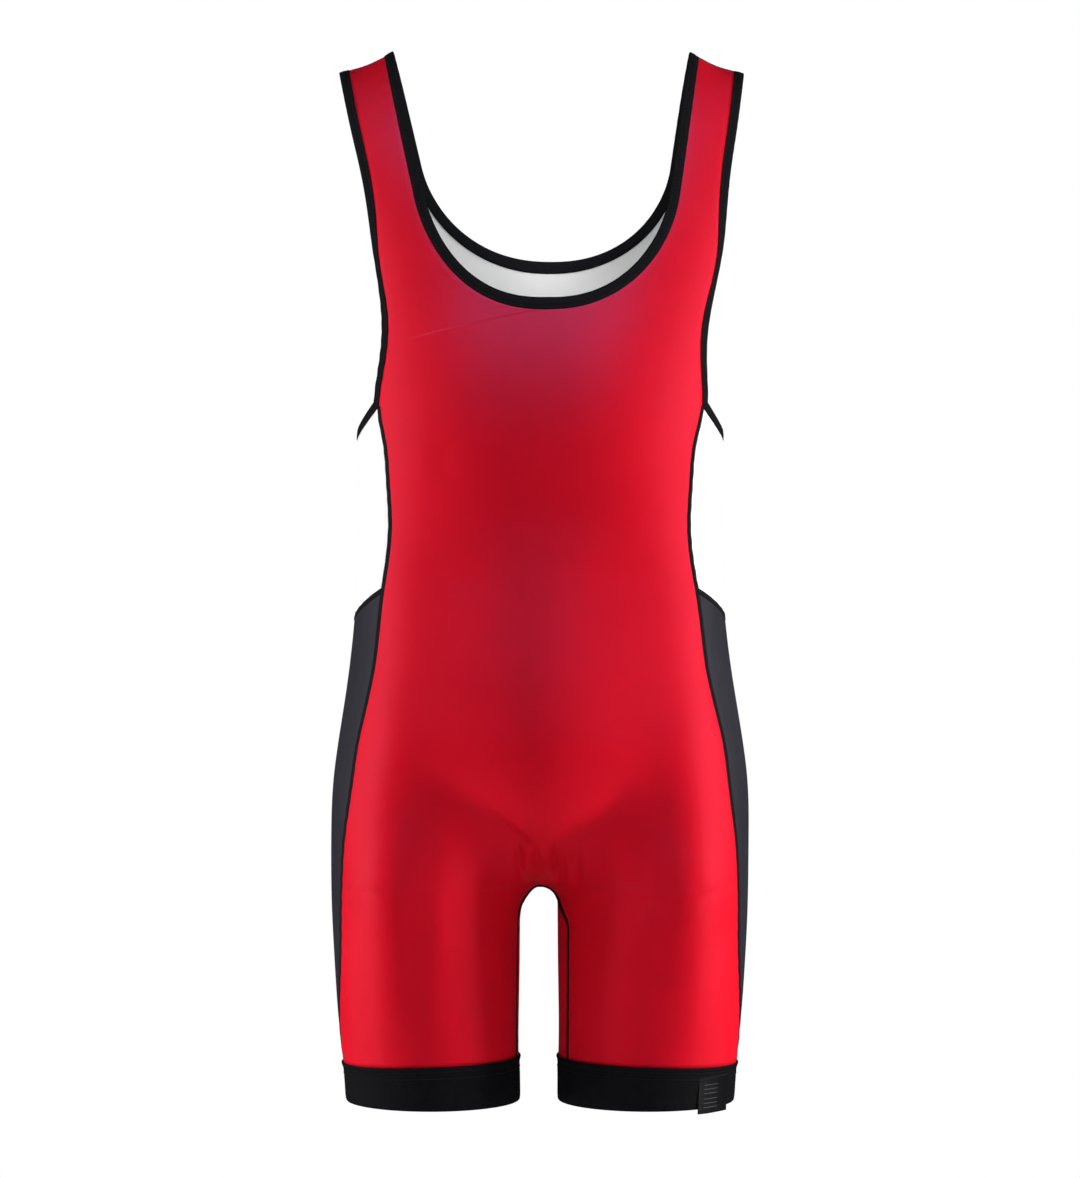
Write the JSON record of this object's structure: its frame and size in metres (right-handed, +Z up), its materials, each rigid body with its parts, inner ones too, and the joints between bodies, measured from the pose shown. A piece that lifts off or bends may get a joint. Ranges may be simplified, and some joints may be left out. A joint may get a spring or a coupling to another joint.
{
  "type": "wrestling singlet",
  "caption": "One-piece sleeveless sports suit with a scoop neck, bound armholes, contrast side panels and elastic leg bands, filled out as if worn.",
  "frame": {"origin": "Between the two straps, at the height where they rest on the shoulders, midway between the front and the back.", "axes": "+Z up along the standing wearer, +Y towards the wearer's back, so that the front of the garment faces -Y, and +X towards the wearer's left."},
  "size_m": [0.3491, 0.2327, 0.8831],
  "materials": {
    "red_knit": "stretch knit with a soft sheen, white on its inner face",
    "white_knit": "stretch knit with a soft sheen",
    "charcoal_knit": "stretch knit with a soft sheen, white on its inner face",
    "black_binding": "folded stretch binding, matt",
    "black_elastic": "wide knitted elastic, matt",
    "black_satin": "woven tab with a satin sheen"
  },
  "bodies": {
    "root": {"front_panel": "red_knit", "back_panel": "red_knit", "side_panel_upper_left": "white_knit", "side_panel_upper_right": "white_knit", "side_panel_lower_left": "charcoal_knit", "side_panel_lower_right": "charcoal_knit", "neck_binding": "black_binding", "armhole_binding_left": "black_binding", "armhole_binding_right": "black_binding", "leg_band_left": "black_elastic", "leg_band_right": "black_elastic", "care_label": "black_satin"}
  },
  "joints": []
}
